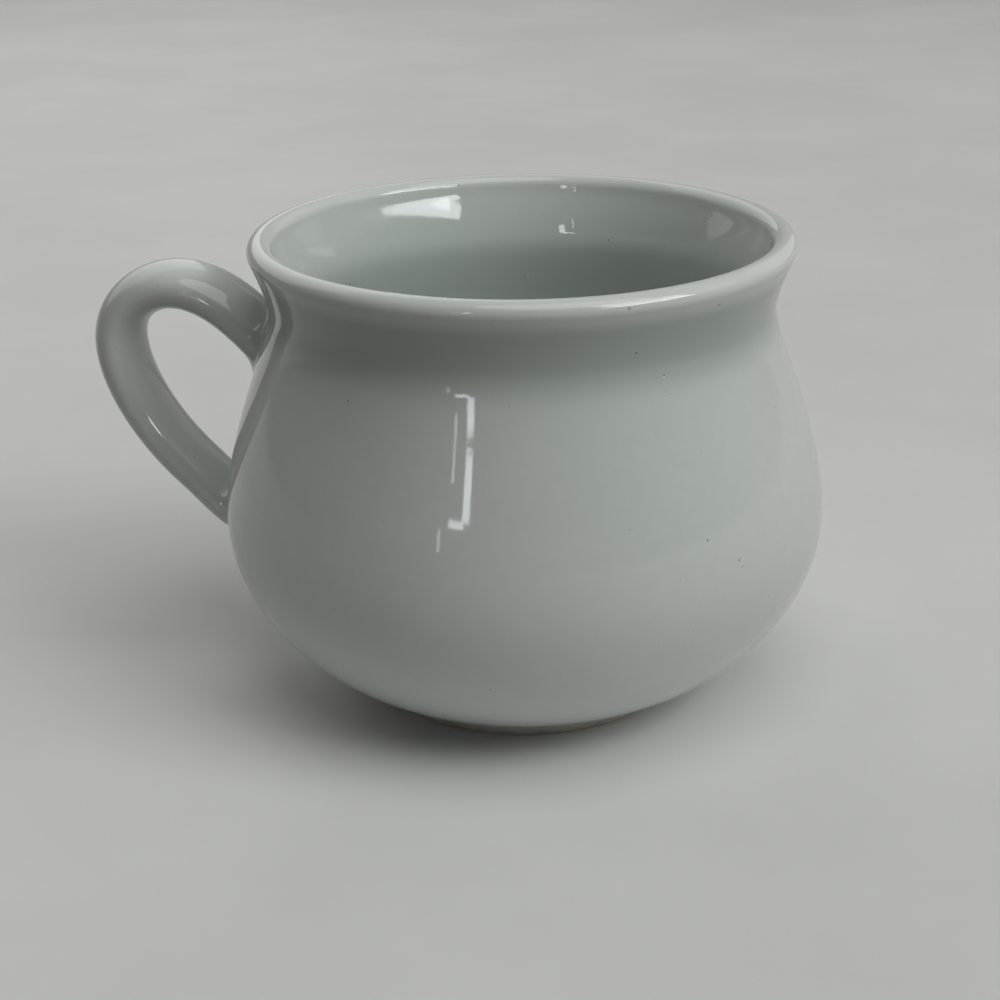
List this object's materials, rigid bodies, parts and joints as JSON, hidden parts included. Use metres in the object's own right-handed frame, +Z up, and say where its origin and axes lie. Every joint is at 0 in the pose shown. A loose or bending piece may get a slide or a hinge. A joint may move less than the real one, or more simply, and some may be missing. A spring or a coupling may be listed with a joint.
{
  "type": "shaving mug",
  "caption": "Pot-bellied glazed ceramic mug with a rolled lip, a small foot ring and an ear-shaped side handle, for holding shaving soap and working up lather with a brush.",
  "frame": {"origin": "on the cup's axis, in the plane of the foot ring's face", "axes": "+Z up along the cup's axis towards the lip; the handle reaches out along -X"},
  "size_m": [0.135, 0.1084, 0.0845],
  "materials": {
    "clay": "matt fired clay",
    "slip": "matt fired slip",
    "glaze": "glossy white glaze"
  },
  "bodies": {
    "root": {"cup_body": "clay", "handle": "clay", "upper_slip_joint": "slip", "lower_slip_joint": "slip", "outer_glaze": "glaze", "inner_glaze": "glaze", "handle_glaze": "glaze", "base_glaze": "glaze"}
  },
  "joints": []
}
